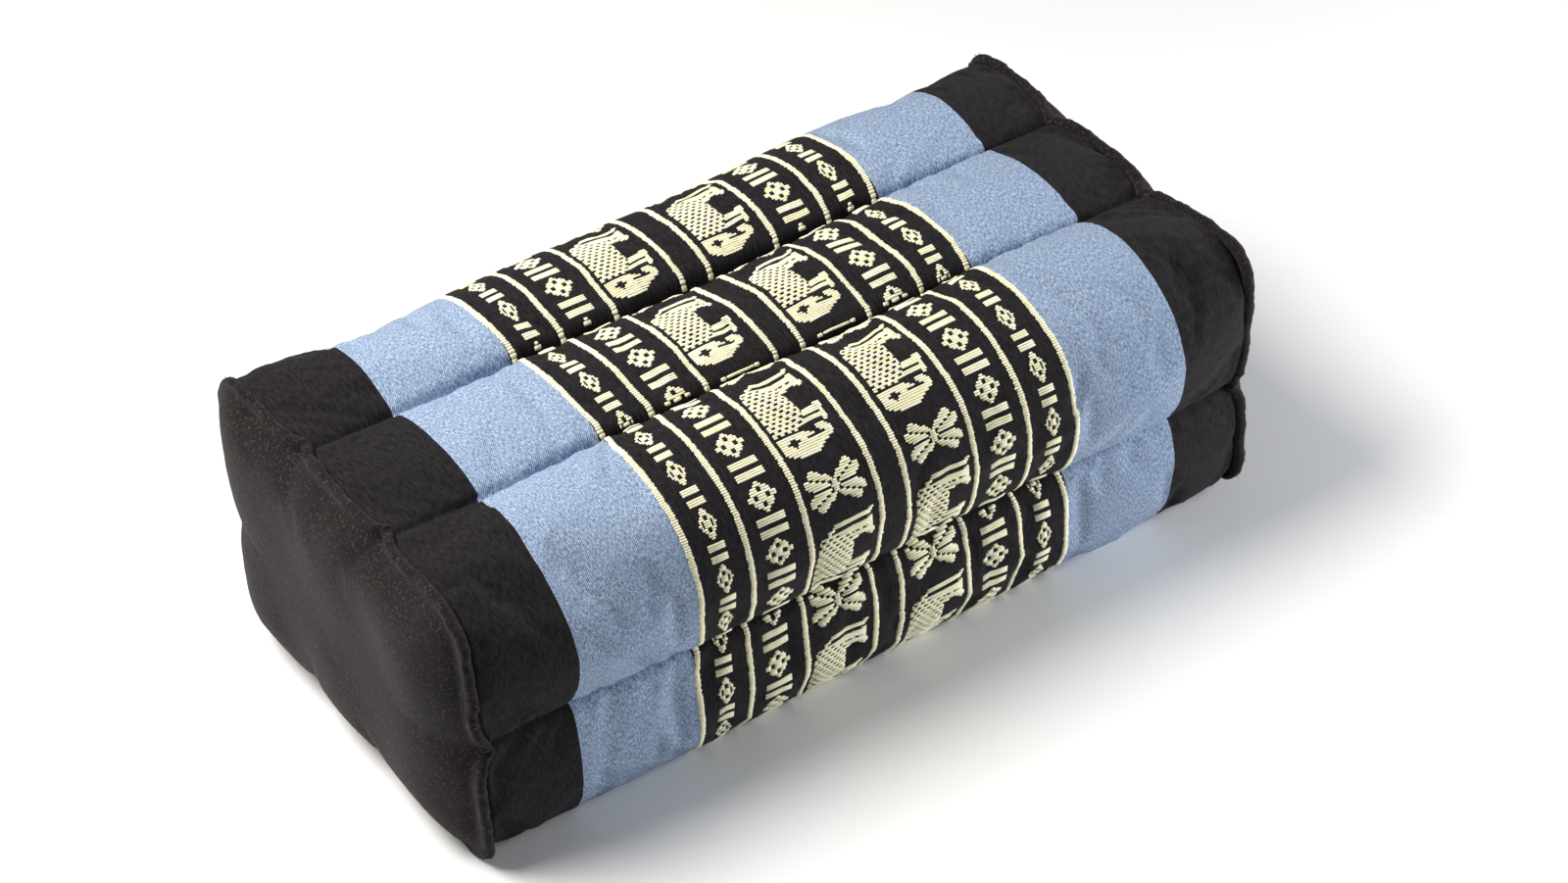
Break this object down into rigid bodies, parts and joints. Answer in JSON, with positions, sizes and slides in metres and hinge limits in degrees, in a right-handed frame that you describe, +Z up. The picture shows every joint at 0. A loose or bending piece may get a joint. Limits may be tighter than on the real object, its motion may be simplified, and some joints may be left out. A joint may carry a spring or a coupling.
{
  "type": "yoga block cushion",
  "caption": "Firm fabric block cushion of sewn, filled channels in a striped woven sleeve, with a plain panel sewn on each end, for sitting or support on the floor.",
  "frame": {"origin": "middle of the underside, on the surface that the block lies on", "axes": "+X along the length, -Y towards the long side that faces the viewer, +Z up"},
  "size_m": [0.3735, 0.1912, 0.1268],
  "materials": {
    "woven_sleeve": "woven cotton with dark, blue and patterned stripes",
    "plain_panel": "plain dark cotton"
  },
  "bodies": {
    "root": {"filled_sleeve": "woven_sleeve", "end_panel_left": "plain_panel", "end_panel_right": "plain_panel"}
  },
  "joints": []
}
